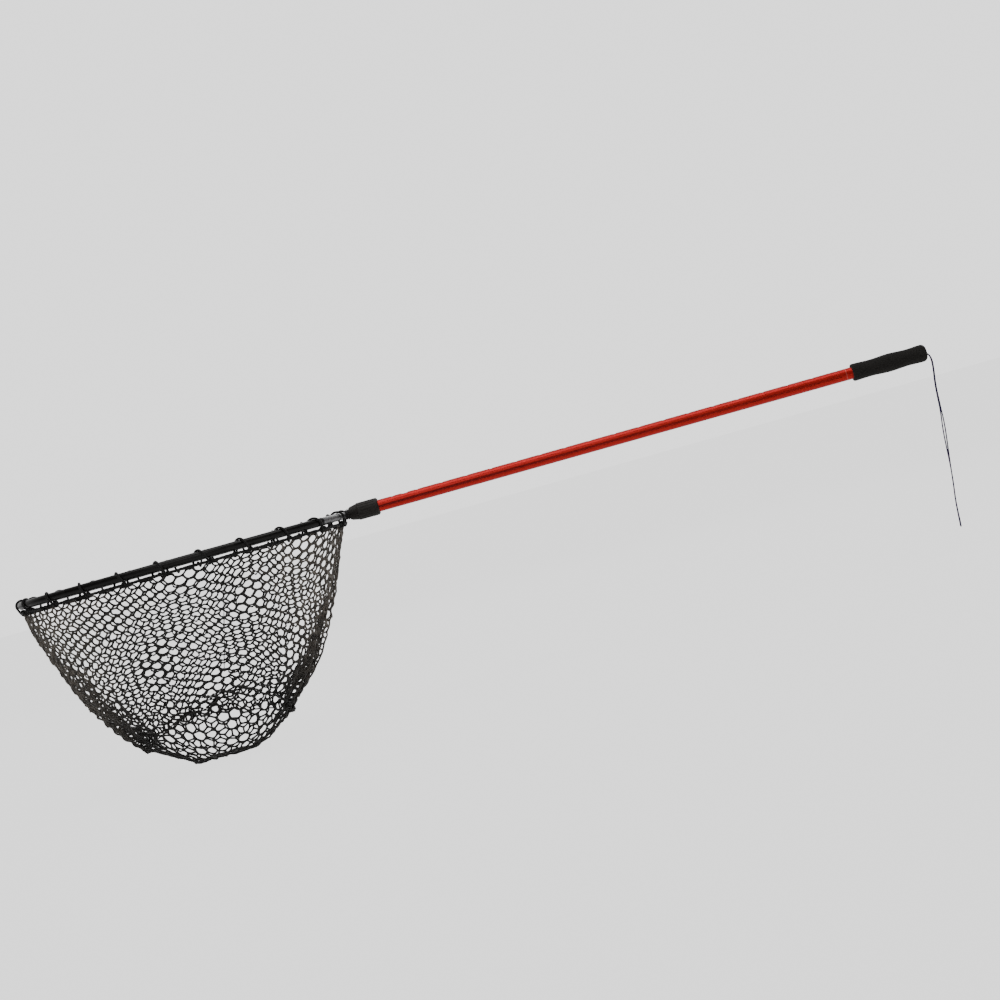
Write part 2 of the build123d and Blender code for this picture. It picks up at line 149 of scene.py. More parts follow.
def tube_mesh(path, radius, sides, closed, lobes=0, twist_length=1.0, depth=0.0):
    """Points and faces of a round cord, with lobes where it is twisted from strands."""
    _, across, up = frames(path, closed)
    run = np.concatenate([[0], np.cumsum(np.linalg.norm(np.diff(path, axis=0), axis=1))])
    turn = np.arange(sides) * 2 * pi / sides
    r = radius * np.ones((len(path), sides))
    if lobes:
        phase = lobes * (turn[None, :] - 2 * pi * run[:, None] / twist_length)
        r = radius * (1 - depth + depth * np.abs(np.cos(phase / 2)) * 1.4)
    points = path[:, None] + r[..., None] * (
        across[:, None] * np.cos(turn)[None, :, None] + up[:, None] * np.sin(turn)[None, :, None]
    )
    rows = len(path)
    faces = []
    for i in range(rows if closed else rows - 1):
        j = (i + 1) % rows
        for k in range(sides):
            m = (k + 1) % sides
            faces.append((i * sides + k, i * sides + m, j * sides + m, j * sides + k))
    if not closed:
        faces.append(tuple(range(sides - 1, -1, -1)))
        faces.append(tuple((rows - 1) * sides + k for k in range(sides)))
    return points.reshape(-1, 3), faces


def joined_tubes(name, tubes, material):
    points, faces, start = [], [], 0
    for p, f in tubes:
        points.append(p)
        faces += [tuple(start + k for k in face) for face in f]
        start += len(p)
    return add_mesh(name, np.vstack(points), faces, material)


# ---- lanyard: a doubled cord from the butt -----------------------------------------------------
LANYARD_ROUTE_MM = (
    (46, 1.22, 0.0), (61, 1.22, 0.1), (75, 1.22, 0.0), (82.2, 1.25, -6.8), (84.9, 1.5, -18),
    (83.2, 1.8, -37), (78.3, 1.7, -68), (76.2, 1.4, -106), (74.7, 1.3, -146), (69.6, 1.7, -187),
    (64.2, 2.2, -228), (59.8, 1.9, -266), (55.0, 1.6, -298), (52.9, 1.8, -324), (52.0, 2.1, -339),
    (51.5, 2.1, -347), (51.2, 1.8, -351), (51.1, -1.8, -351.2), (51.4, -2.1, -347),
    (52.0, -2.2, -339), (52.7, -1.8, -323), (54.6, -1.6, -297), (59.3, -2.0, -264),
    (63.0, -2.2, -227), (65.2, -1.8, -188), (67.8, -1.6, -155), (73.0, -1.4, -119),
    (74.7, -1.6, -88), (76.8, -1.8, -62), (81.3, -1.7, -35), (82.7, -1.5, -17),
    (80.8, -1.25, -6.9), (75, -1.22, -0.6), (61, -1.22, 0.1), (46, -1.22, 0.0),
)
LANYARD_RADIUS = 0.0012
curve = bpy.data.curves.new("lanyard_cord", "CURVE")
curve.dimensions = "3D"
curve.bevel_depth = LANYARD_RADIUS
curve.bevel_resolution = 5
curve.resolution_u = 10
curve.use_fill_caps = True
spline = curve.splines.new("NURBS")
spline.points.add(len(LANYARD_ROUTE_MM) - 1)
for point, (x, y, z) in zip(spline.points, LANYARD_ROUTE_MM):
    point.co = (x * MM, y * MM, z * MM, 1)
spline.order_u = 3
spline.use_endpoint_u = True
lanyard = bpy.data.objects.new("lanyard_cord", curve)
bpy.context.scene.collection.objects.link(lanyard)


# ---- materials ---------------------------------------------------------------------------------
class Surface:
    """A procedural finish: colours and roughness that vary, and relief."""

    def __init__(self, name, roughness, metallic=0.0, coat=0.0, sheen=0.0, specular=0.5):
        self.material = bpy.data.materials.new(name)
        self.material.use_nodes = True
        self.tree = self.material.node_tree
        self.shader = self.tree.nodes["Principled BSDF"]
        self.shader.inputs["Metallic"].default_value = metallic
        self.shader.inputs["Coat Weight"].default_value = coat
        self.shader.inputs["Coat Roughness"].default_value = 0.12
        self.shader.inputs["Sheen Weight"].default_value = sheen
        self.shader.inputs["Specular IOR Level"].default_value = specular
        self.roughness = roughness
        self.height = None
        self.place = self.node("ShaderNodeTexCoord").outputs["Object"]

    def node(self, kind, **settings):
        made = self.tree.nodes.new(kind)
        for key, value in settings.items():
            if key in made.inputs:
                made.inputs[key].default_value = value
            else:
                setattr(made, key, value)
        return made

    def link(self, start, end):
        self.tree.links.new(start, end)

    def feed(self, values, sockets):
        """Links each output, or sets each number, at its socket."""
        for value, socket in zip(values, sockets):
            if hasattr(value, "is_linked"):
                self.link(value, socket)
            else:
                socket.default_value = value

    def calc(self, operation, *values):
        made = self.node("ShaderNodeMath", operation=operation)
        self.feed(values, made.inputs)
        return made.outputs[0]

    def vector(self, operation, *values):
        made = self.node("ShaderNodeVectorMath", operation=operation)
        self.feed(values, made.inputs)
        gives_number = operation in ("LENGTH", "DOT_PRODUCT")
        return made.outputs["Value" if gives_number else "Vector"]

    def x(self):
        """The place's coordinate along the pole."""
        split = self.node("ShaderNodeSeparateXYZ")
        self.link(self.place, split.inputs[0])
        return split.outputs["X"]

    def stretched(self, scale, turn=(0, 0, 0)):
        mapping = self.node("ShaderNodeMapping")
        mapping.inputs["Scale"].default_value = scale
        mapping.inputs["Rotation"].default_value = turn
        self.link(self.place, mapping.inputs["Vector"])
        return mapping.outputs["Vector"]

    def noise(self, scale, stretch=(1, 1, 1), detail=4.0, turn=(0, 0, 0), soft=0.55):
        made = self.node("ShaderNodeTexNoise", Scale=scale, Detail=detail, Roughness=soft)
        self.link(self.stretched(stretch, turn), made.inputs["Vector"])
        return made.outputs["Fac"]

    def pits(self, scale, stretch=(1, 1, 1)):
        made = self.node("ShaderNodeTexVoronoi", Scale=scale)
        self.link(self.stretched(stretch), made.inputs["Vector"])
        return made.outputs["Distance"]

    def waves(self, scale, direction="DIAGONAL", distortion=0.0, stretch=(1, 1, 1)):
        made = self.node("ShaderNodeTexWave", bands_direction=direction, Scale=scale,
                         Distortion=distortion)
        self.link(self.stretched(stretch), made.inputs["Vector"])
        return made.outputs["Fac"]

    def between(self, value, low, high, start=0.0, end=1.0):
        """Maps a value from low..high to start..end."""
        made = self.node("ShaderNodeMapRange")
        self.feed((value, low, high, start, end), made.inputs)
        return made.outputs["Result"]

    def blend(self, amount, first, second, mode="MIX"):
        made = self.node("ShaderNodeMix", data_type="RGBA", blend_type=mode)
        self.link(amount, made.inputs["Factor"])
        colours = [value if hasattr(value, "is_linked") else (*value, 1)
                   for value in (first, second)]
        self.feed(colours, made.inputs[6:8])
        return made.outputs[2]

    def colour(self, value):
        self.link(value, self.shader.inputs["Base Color"])

    def rough(self, value, low=0.3, high=0.7):
        near, far = self.roughness
        self.link(self.between(value, low, high, near, far), self.shader.inputs["Roughness"])

    def bump(self, value, distance, strength=1.0):
        made = self.node("ShaderNodeBump", Distance=distance, Strength=strength)
        self.link(value, made.inputs["Height"])
        if self.height:
            self.link(self.height, made.inputs["Normal"])
        self.height = made.outputs["Normal"]
        self.link(self.height, self.shader.inputs["Normal"])


KEY_DROP = radians(8)  # the groove's place round the tube, below the horizontal, where the band of painted shade is centred
KEY_FLOOR, KEY_EDGE = 0.0110, 0.0119  # radii where the groove's painted shade is darkest and where it ends
KEY_SHADE_FADES = (-0.95, -0.12)  # the groove's painted shade is fainter towards the grip
PALE_RING_X, PALE_RING_HALF = -0.0890, 0.0006


def anodised_red():
    """Brushed red anodising: fine streaks, painted shade in and beside the key groove, a faint
    paler ring by the grip.
    """
    s = Surface("anodised_red", (0.36, 0.50), metallic=0.75)
    streaks = s.noise(900, (0.05, 1, 1), detail=3)
    scratches = s.noise(700, (0.04, 1, 1), detail=5, turn=(0, 0.6, 0.5))
    patches = s.noise(14, (0.4, 1, 1))
    base = s.blend(s.between(streaks, 0.35, 0.65), (0.35, 0.0068, 0.0058),
                   (0.44, 0.0110, 0.0094))
    base = s.blend(s.between(scratches, 0.64, 0.76, 0, 0.4), base, (0.60, 0.030, 0.024))
    base = s.blend(s.between(patches, 0.4, 0.7, 0, 0.35), base, (0.37, 0.0080, 0.0068))
    # painted shade: the colour darkens inside the key groove's radius and in a band round the tube
    # at the groove's angle, standing in for the shade in the hollow, and it is fainter towards the
    # grip
    across = s.vector("MULTIPLY", s.place, (0, 1, 1))
    groove_shade = s.between(s.vector("LENGTH", across), KEY_FLOOR, KEY_EDGE, 0.80, 0)
    facing = s.vector("DOT_PRODUCT", s.vector("NORMALIZE", across),
                      (0, -cos(KEY_DROP), -sin(KEY_DROP)))
    dark = s.calc("MAXIMUM", groove_shade, s.between(facing, 0.90, 0.99, 0, 0.42))
    faded_groove_shade = s.calc("MULTIPLY", dark, s.between(s.x(), *KEY_SHADE_FADES, 1, 0.45))
    base = s.blend(faded_groove_shade, base, (0.075, 0.0016, 0.0014))
    ring = s.calc("COMPARE", s.x(), PALE_RING_X, PALE_RING_HALF)
    s.colour(s.blend(s.between(ring, 0, 1, 0, 0.5), base, (0.62, 0.16, 0.12)))
    s.rough(streaks)
    s.bump(streaks, 0.00003, 0.35)
    return s.material


def moulded(name, dark, light, roughness, grain=1500, distance=0.00006, wear=True, specular=0.4):
    """Injection-moulded plastic: fine spark-eroded grain, handling marks, pale worn edges."""
    s = Surface(name, roughness, specular=specular)
    fine = s.noise(grain, detail=2)
    marks = s.noise(60, (0.4, 1, 1), detail=6)
    base = s.blend(s.between(marks, 0.35, 0.7), dark, light)
    if wear:
        edge = s.node("ShaderNodeNewGeometry").outputs["Pointiness"]
        worn = tuple(2.2 * c for c in light)
        base = s.blend(s.between(edge, 0.52, 0.60, 0, 0.6), base, worn)
    s.colour(base)
    s.rough(marks)
    s.bump(fine, distance, 0.5)
    s.bump(s.noise(220, detail=3), 0.00005, 0.25)
    return s.material


def foam():
    """Closed-cell foam: matt skin with pores and a few paler scuffs."""
    s = Surface("grip_foam", (0.78, 0.95), sheen=0.03, specular=0.12)
    pores = s.pits(900)
    mottle = s.noise(320, detail=5)
    scuffs = s.noise(38, (0.5, 1, 1), detail=6)
    base = s.blend(s.between(mottle, 0.35, 0.65), (0.0110, 0.0101, 0.0092),
                   (0.0185, 0.0171, 0.0157))
    base = s.blend(s.between(scuffs, 0.58, 0.75, 0, 0.55), base, (0.024, 0.0226, 0.0208))
    s.colour(s.blend(s.between(pores, 0.0, 0.28, 0.7, 0), base, (0.003, 0.003, 0.003)))
    s.rough(mottle)
    s.bump(pores, 0.00018, 0.6)
    s.bump(mottle, 0.00025, 0.5)
    return s.material


def enamel():
    """Glossy black paint on tube: slight orange peel, rubbed streaks along it."""
    s = Surface("hoop_enamel", (0.26, 0.34), specular=0.16)
    peel = s.noise(420, detail=2)
    rubs = s.noise(46, detail=5)
    s.colour(s.blend(s.between(rubs, 0.35, 0.7), (0.0030, 0.0028, 0.0026),
                     (0.0075, 0.0070, 0.0064)))
    s.rough(rubs)
    s.bump(peel, 0.00003, 0.25)
    return s.material


def casting():
    """Bare die-cast alloy, polished lengthwise, with cloudy darker stains."""
    s = Surface("yoke_casting", (0.30, 0.52), metallic=0.85)
    streaks = s.noise(620, (0.22, 0.22, 1), detail=4)
    stain = s.noise(55, detail=6)
    base = s.blend(s.between(streaks, 0.35, 0.65), (0.085, 0.085, 0.087), (0.21, 0.21, 0.214))
    s.colour(s.blend(s.between(stain, 0.45, 0.7, 0, 0.6), base, (0.085, 0.084, 0.083)))
    s.rough(streaks)
    s.bump(streaks, 0.00006, 0.5)
    return s.material


def steel(name, colour, roughness):
    """Plain steel: fine turning lines and a few dark specks."""
    s = Surface(name, roughness, metallic=1.0)
    turning = s.noise(1400, (1, 1, 0.2), detail=3)
    specks = s.noise(300, detail=6)
    base = s.blend(s.between(turning, 0.3, 0.7), tuple(0.75 * c for c in colour), colour)
    dark = tuple(0.4 * c for c in colour)
    s.colour(s.blend(s.between(specks, 0.62, 0.75, 0, 0.5), base, dark))
    s.rough(turning)
    s.bump(turning, 0.00002, 0.5)
    return s.material


def shaft_black():
    """Hard-anodised sliding tube: dark, with fine rub lines along it."""
    s = Surface("shaft_black", (0.28, 0.45), metallic=0.6)
    rubs = s.noise(1100, (0.02, 1, 1), detail=4)
    cloud = s.noise(30, (0.3, 1, 1), detail=4)
    base = s.blend(s.between(rubs, 0.5, 0.72), (0.016, 0.016, 0.017), (0.06, 0.06, 0.062))
    s.colour(s.blend(s.between(cloud, 0.4, 0.7, 0, 0.5), base, (0.024, 0.024, 0.025)))
    s.rough(rubs)
    s.bump(rubs, 0.00002, 0.4)
    return s.material


def rubber(name, dark, light, roughness=(0.5, 0.75), specular=0.4):
    """Matt rubber with a cloudy bloom."""
    s = Surface(name, roughness, specular=specular)
    bloom = s.noise(140, detail=6)
    fine = s.noise(1300, detail=2)
    s.colour(s.blend(s.between(bloom, 0.4, 0.68), dark, light))
    s.rough(bloom)
    s.bump(fine, 0.00008, 0.6)
    return s.material


def fibre(name, dark, light, scale, roughness=(0.6, 0.85), fleck=None):
    """Braided or twisted cord: fine crossing yarns, fuzz and lighter wear on the crowns."""
    s = Surface(name, roughness, sheen=0.06, specular=0.2)
    yarns = s.waves(scale, "DIAGONAL", 1.5)
    other = s.waves(scale, "DIAGONAL", 1.5, (-1, 1, 1))
    weave = s.calc("MULTIPLY", yarns, other)
    fuzz = s.noise(scale * 4, detail=4)
    base = s.blend(s.between(weave, 0.1, 0.7), dark, light)
    if fleck:
        base = s.blend(s.between(s.noise(scale * 0.35, detail=2), 0.52, 0.58), base, fleck)
    s.colour(base)
    s.rough(fuzz)
    s.bump(weave, 0.00018, 0.8)
    s.bump(fuzz, 0.00006, 0.5)
    return s.material


DUST_MIDDLE_X = -1.465
DUST_FROM, DUST_TO = 0.14, 0.27  # distances from the middle where the dust begins and is whole


def coated_net():
    """Rubber-coated netting, dusty where it stays folded, towards the hoop's two tips."""
    s = Surface("net_rubber", (0.42, 0.62), specular=0.28)
    bloom = s.noise(140, detail=6)
    dust = s.noise(45, detail=5)
    base = s.blend(s.between(bloom, 0.4, 0.68), (0.0036, 0.0029, 0.0023),
                   (0.0100, 0.0084, 0.0068))
    away = s.calc("ABSOLUTE", s.calc("SUBTRACT", s.x(), DUST_MIDDLE_X))
    amount = s.calc("MULTIPLY", s.between(away, DUST_FROM, DUST_TO),
                    s.between(dust, 0.38, 0.62, 0.25, 1))
    s.colour(s.blend(amount, base, (0.115, 0.098, 0.080)))
    s.rough(bloom)
    s.bump(s.noise(1300, detail=2), 0.00008, 0.6)
    return s.material


housing = moulded("housing_plastic", (0.014, 0.014, 0.014), (0.024, 0.024, 0.023), (0.4, 0.55))
net_rubber = coated_net()
lacing_fibre = fibre("lacing_cord", (0.0035, 0.0035, 0.0035), (0.0100, 0.0096, 0.0090), 420)
rope_fibre = fibre("headrope_cord", (0.0045, 0.0044, 0.0040), (0.020, 0.0194, 0.0182), 300)
cord_fibre = fibre("lanyard_cord", (0.0045, 0.0040, 0.034), (0.0090, 0.0080, 0.075), 700,
                   fleck=(0.034, 0.006, 0.060))
FINISHES = {
    "outer_tube": anodised_red(),
    "butt_plug": moulded("plug_plastic", (0.012, 0.012, 0.012), (0.022, 0.022, 0.021),
                         (0.45, 0.6)),
    "front_collar": moulded("collar_plastic", (0.0085, 0.0070, 0.0058),
                            (0.0150, 0.0125, 0.0105), (0.46, 0.62), wear=False, specular=0.22),
    "collar_screw": steel("dark_screw", (0.10, 0.10, 0.10), (0.35, 0.5)),
    "guide_bush": moulded("bearing_plastic", (0.30, 0.29, 0.26), (0.40, 0.39, 0.36),
                          (0.4, 0.55), wear=False),
    "wiper_ring": rubber("seal_rubber", (0.008, 0.008, 0.008), (0.016, 0.016, 0.016)),
    "inner_tube": shaft_black(),
    "yoke": casting(),
    "yoke_pin": steel("pin_steel", (0.55, 0.55, 0.54), (0.25, 0.4)),
    "neck_rings": rubber("neck_rubber", (0.0030, 0.0028, 0.0026), (0.0070, 0.0066, 0.0060),
                         specular=0.25),
    "arm_rivets": steel("rivet_steel", (0.42, 0.42, 0.42), (0.3, 0.5)),
    "hoop_tube": enamel(),
    "button_housing": housing,
    "housing_pin": steel("housing_pin_steel", (0.55, 0.55, 0.54), (0.25, 0.4)),
    "spring_plug": housing,
    "button_spring": steel("spring_steel", (0.50, 0.49, 0.47), (0.25, 0.4)),
    "snap_button": steel("button_steel", (0.60, 0.59, 0.57), (0.2, 0.38)),
}
for name, material in FINISHES.items():
    slots = nodes[name].data.materials
    for number in range(len(slots)):
        slots[number] = material
    if not len(slots):
        slots.append(material)

lanyard.data.materials.append(cord_fibre)
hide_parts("lanyard")
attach(lanyard, "handle")


# ---- stopper knot: an overhand knot behind the plug --------------------------------------------
KNOT_X, KNOT_HALF_LENGTH, KNOT_SIZE = 41.5, 2.88, 0.98
KNOT_CORD_RADIUS = 0.95


def make_knot():
    turn = np.linspace(0, 2 * pi, 90, endpoint=False)
    line = np.stack([KNOT_X + KNOT_HALF_LENGTH * np.sin(3 * turn),
                     KNOT_SIZE * (np.sin(turn) + 2 * np.sin(2 * turn)),
                     KNOT_SIZE * (np.cos(turn) - 2 * np.cos(2 * turn))], 1)
    cord = tube_mesh(line, KNOT_CORD_RADIUS, 10, True)
    return joined_tubes("lanyard_knot_cord", [cord], cord_fibre)


knot = make_knot()
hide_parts("lanyard_knot")
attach(knot, "handle")


# ---- foam grip ---------------------------------------------------------------------------------
# the sleeve's radius at places along the pole: two waists and a palm swell
GRIP_SWELL_MM = ((-73, 17.4), (-38, 16.3), (0, 18.1), (38, 16.3), (67, 17.4))
GRIP_SIDES = 128


def swell_radius(x):
    """The sleeve's radius, which swells smoothly from each place to the next."""
    for (x0, r0), (x1, r1) in zip(GRIP_SWELL_MM, GRIP_SWELL_MM[1:]):
        if x <= x1:
            t = min(max((x - x0) / (x1 - x0), 0), 1)
            return r0 + (r1 - r0) * t * t * (3 - 2 * t)
    return GRIP_SWELL_MM[-1][1]


def grip_profile():
    """The sleeve's outline from its front face round to its bore, as (x, radius)."""
    line = [(-75.7, 12.1), (-76, 12.6), (-76, 14.2),
            (-75.75, 15.4), (-75.1, 16.4), (-74.2, 17.05)]
    line += [(x, swell_radius(x)) for x in np.linspace(-73, 64, 70)]
    # a shallow moulding line, then the rounded end
    line += [(65.0, 17.38), (65.5, 17.15), (66.0, 17.12), (66.5, 17.3)]
    for angle in np.linspace(0, 90, 14):
        line.append((67 + 9.0 * sin(radians(angle)), 9.6 + 7.75 * cos(radians(angle)) ** 0.9))
    line += [(76, 8.0), (75.9, 5.0), (75.4, 3.7), (74.6, 3.2), (70.5, 3.2), (70.1, 12.06)]
    return np.array(line)


def make_grip():
    profile = grip_profile()
    angle = np.arange(GRIP_SIDES) * 2 * pi / GRIP_SIDES
    x = np.repeat(profile[:, :1], GRIP_SIDES, 1)
    r = np.repeat(profile[:, 1:], GRIP_SIDES, 1)
    # the foam's own unevenness
    wave = 0.10 * np.sin(3 * angle[None] + x / 23) + 0.08 * np.sin(5 * angle[None] - x / 11 + 1)
    soft = np.clip((r - 13) / 3, 0, 1)
    r = r + (wave + rng.normal(0, 0.03, r.shape)) * soft
    points = np.stack([x, r * np.cos(angle)[None], r * np.sin(angle)[None]], -1).reshape(-1, 3)
    rows, faces = len(profile), []
    for i in range(rows):
        j = (i + 1) % rows
        for k in range(GRIP_SIDES):
            m = (k + 1) % GRIP_SIDES
            faces.append((i * GRIP_SIDES + k, j * GRIP_SIDES + k,
                          j * GRIP_SIDES + m, i * GRIP_SIDES + m))
    return add_mesh("foam_grip_sleeve", points, faces, foam())


grip = make_grip()
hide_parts("foam_grip")
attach(grip, "handle")


# ---- the hoop's oval ---------------------------------------------------------------------------
HALF_LENGTH, HALF_WIDTH = 326.4, 227.0
TIP_NEAR, TIP_FAR = -1126.3, -1779.1
MIDDLE = (TIP_NEAR + TIP_FAR) / 2
HEADROPE_Z = -15.0


def oval_half(way, tip_x, tip_radius):
    """Arcs of the hoop's centreline on one side of its widest place: centre, radius, angles."""
    reach = HALF_LENGTH - tip_radius
    side = (reach**2 + HALF_WIDTH**2 - tip_radius**2) / (2 * (HALF_WIDTH - tip_radius))
    join = atan2(side - HALF_WIDTH, reach)
    tip = (tip_x - way * tip_radius, 0)
    low, high = (MIDDLE, side - HALF_WIDTH), (MIDDLE, HALF_WIDTH - side)
    if way > 0:
        return [(low, side, -pi / 2, -join), (tip, tip_radius, -join, join),
                (high, side, join, pi / 2)]
    return [(high, side, pi / 2, pi - join), (tip, tip_radius, pi - join, pi + join),
            (low, side, pi + join, 1.5 * pi)]


ARCS = oval_half(1, TIP_NEAR, 165.0) + oval_half(-1, TIP_FAR, 190.0)
ARC_LENGTHS = [radius * (end - start) for _, radius, start, end in ARCS]
PERIMETER = sum(ARC_LENGTHS)
YOKE_AT = ARC_LENGTHS[0] + ARC_LENGTHS[1] / 2
YOKE_TO_SIDE = ARC_LENGTHS[1] / 2 + ARC_LENGTHS[2]
SIDE_TO_TIP = ARC_LENGTHS[3] + ARC_LENGTHS[4] / 2


def oval(distance):
    """Points (x, y) and headings of the hoop's centreline at distances from the yoke."""
    d = np.mod(np.asarray(distance, float) + YOKE_AT, PERIMETER)
    xy, heading, start = np.zeros(d.shape + (2,)), np.zeros(d.shape), 0.0
    for (centre, radius, first, _), length in zip(ARCS, ARC_LENGTHS):
        here = (d >= start) & (d <= start + length)
        angle = first + (d - start) / radius
        place = np.stack([centre[0] + radius * np.cos(angle),
                          centre[1] + radius * np.sin(angle)], -1)
        xy[here] = place[here]
        heading[here] = angle[here] + pi / 2
        start += length
    return xy, heading


def by_hoop(distance, outward, z):
    """Points beside the hoop: distances along it, offsets outward from its centreline, heights."""
    xy, heading = oval(distance)
    out = np.stack([np.sin(heading), -np.cos(heading)], -1)
    spot = xy + out * np.asarray(outward)[..., None]
    return np.concatenate([spot, np.broadcast_to(z, spot.shape[:-1])[..., None]], -1)


# ---- netting: a hexagonal lattice that hangs in the bag's shape --------------------------------
# depth below the hoop, and the bag's extent along the pole there, from the hoop's middle
LEVELS = np.array([
    (15, -326, 326), (22, -325, 321), (60, -321, 305), (116, -304, 281), (190, -277, 250),
    (250, -247, 216), (300, -212, 173), (345, -160, 121), (375, -110, 80), (392, -78, 42),
], float)
COLUMNS, ROWS = 82, 17
COLUMN_PITCH = PERIMETER / COLUMNS
MESH_SIDE, MESH_HEIGHT = 12.8, 18.6  # a strand's length, and a hanging cell's height
TOP_DEPTH, DEEPEST = 18.4, 393
PANEL_SIDE = 14.2
PANEL_FLAT = (158, 176)  # half-axes of the bottom panel as cut
PANEL_PLAN = (150, 146)  # and as it hangs, seen from above
PANEL_TURN = radians(24)
PANEL_DEPTH, PANEL_RISE = 344, 42  # the panel's rim at the tips, and how far it rises at the sides
# how evenly the columns stay spread along the bag's sides, by depth
SPREAD_BY_DEPTH = (17, 60, 190, 300, 392), (0.3, 0.4, 0.8, 0.6, 0.3)
PANEL_REACH = 0.955  # share of the panel's half-axes that its whole cells fill
FOLD_LENGTH, FOLD_MOST = 78.0, 15  # the pleats' pitch round the rim and their greatest height


def half_length(depth):
    """Half the bag's extent along the pole at a depth."""
    return np.interp(depth, LEVELS[:, 0], (LEVELS[:, 2] - LEVELS[:, 1]) / 2)


def middle_at(depth):
    """The middle of that extent."""
    return MIDDLE + np.interp(depth, LEVELS[:, 0], (LEVELS[:, 2] + LEVELS[:, 1]) / 2)


def bag_surface(u, depth):
    """Where the column at distance u round the rim hangs at a depth, with the net's pleats."""
    k = half_length(depth) / HALF_LENGTH
    u = np.mod(u, PERIMETER)
    first = u < PERIMETER / 2
    side_middle = np.where(first, YOKE_TO_SIDE, PERIMETER - YOKE_TO_SIDE)
    off = u - side_middle
    quarter = np.where(np.where(first, off < 0, off > 0), YOKE_TO_SIDE, SIDE_TO_TIP)
    w = np.abs(off) / quarter
    spread = k + (1 - k) * np.interp(depth, *SPREAD_BY_DEPTH)
    power = np.clip((spread - 0.25) / np.maximum(spread - k, 1e-3), 1.15, 3.2)
    s = quarter * (spread * w - (spread - k) * w**power)
    crowd = spread - (spread - k) * power * w ** (power - 1)
    xy, heading = oval(side_middle + np.sign(off) * s / k)
    out = np.stack([np.sin(heading), -np.cos(heading)], -1)
    # crowded columns fold inward
    size = np.sqrt(np.clip(2 * (1 - (np.clip(crowd, 0, 1) / 0.72) ** 2), 0, None))
    size = np.minimum(FOLD_LENGTH / (2 * pi) * size, FOLD_MOST)
    phase = (2 * pi * u / FOLD_LENGTH + 1.6 * np.sin(u / 97 + 1.7)
             + 0.7 * np.sin(depth / 55 + u / 130))
    hang = np.clip((depth - 17) / 80, 0, 1)
    inward = 0.9 * size * (1 + np.sin(phase)) - (3.0 * np.sin(u / 61 + depth / 80) - 2.0) * hang
    x = middle_at(depth) + (xy[..., 0] - MIDDLE) * k - out[..., 0] * inward
    y = xy[..., 1] * k - out[..., 1] * inward
    return np.stack([x, y, -np.asarray(depth, float)], -1)


def panel_depth(across):
    """The bag's depth where its half-length would be across."""
    order = np.argsort(LEVELS[:, 2] - LEVELS[:, 1])
    sizes = (LEVELS[order, 2] - LEVELS[order, 1]) / 2
    depths = LEVELS[order, 0]
    return np.interp(across, [0, *sizes], [DEEPEST, *depths])


def wall_places(u, v):
    """Places of lattice points at u round the rim and v down the wall."""
    steps, whole = 60, (ROWS + 0.5) * MESH_HEIGHT
    xy, _ = oval(u)
    angle = np.arctan2(xy[:, 1] / HALF_WIDTH, (xy[:, 0] - MIDDLE) / HALF_LENGTH)
    end = PANEL_DEPTH - PANEL_RISE * np.sin(angle) ** 2
    depth = TOP_DEPTH + (end[:, None] - TOP_DEPTH) * np.linspace(0, 1, steps)
    path = bag_surface(np.repeat(u[:, None], steps, 1), depth)
    run = np.cumsum(np.linalg.norm(np.diff(path, axis=1), axis=2), 1)
    run = np.concatenate([np.zeros((len(u), 1)), run], 1)
    # rows keep their height near the rim, and the slack or the pull is lower down
    t = v / whole
    wanted = v + (run[:, -1] - whole) * t**2.6
    at = np.array([np.interp(g, r, d) for g, r, d in zip(wanted, run, depth)])
    return bag_surface(u, at)


def wall_lattice():
    """Lattice points (u, v), strands, and the number of each point (column, row, end)."""
    number, uv, strands = {}, [], []
    for i in range(COLUMNS):
        for j in range(ROWS + 1):
            for end in (0, 1):
                number[i, j, end] = len(uv)
                uv.append((i * COLUMN_PITCH + (end - 0.5) * MESH_SIDE,
                           (j + 0.5 * (i % 2)) * MESH_HEIGHT))
    for i in range(COLUMNS):
        for j in range(ROWS + 1):
            strands.append((number[i, j, 0], number[i, j, 1]))
            if i % 2 == 0:
                for row in (j, j - 1):
                    if row >= 0:
                        strands.append((number[i, j, 1], number[(i + 1) % COLUMNS, row, 0]))
                        strands.append((number[i, j, 0], number[(i - 1) % COLUMNS, row, 1]))
    return np.array(uv), strands, number


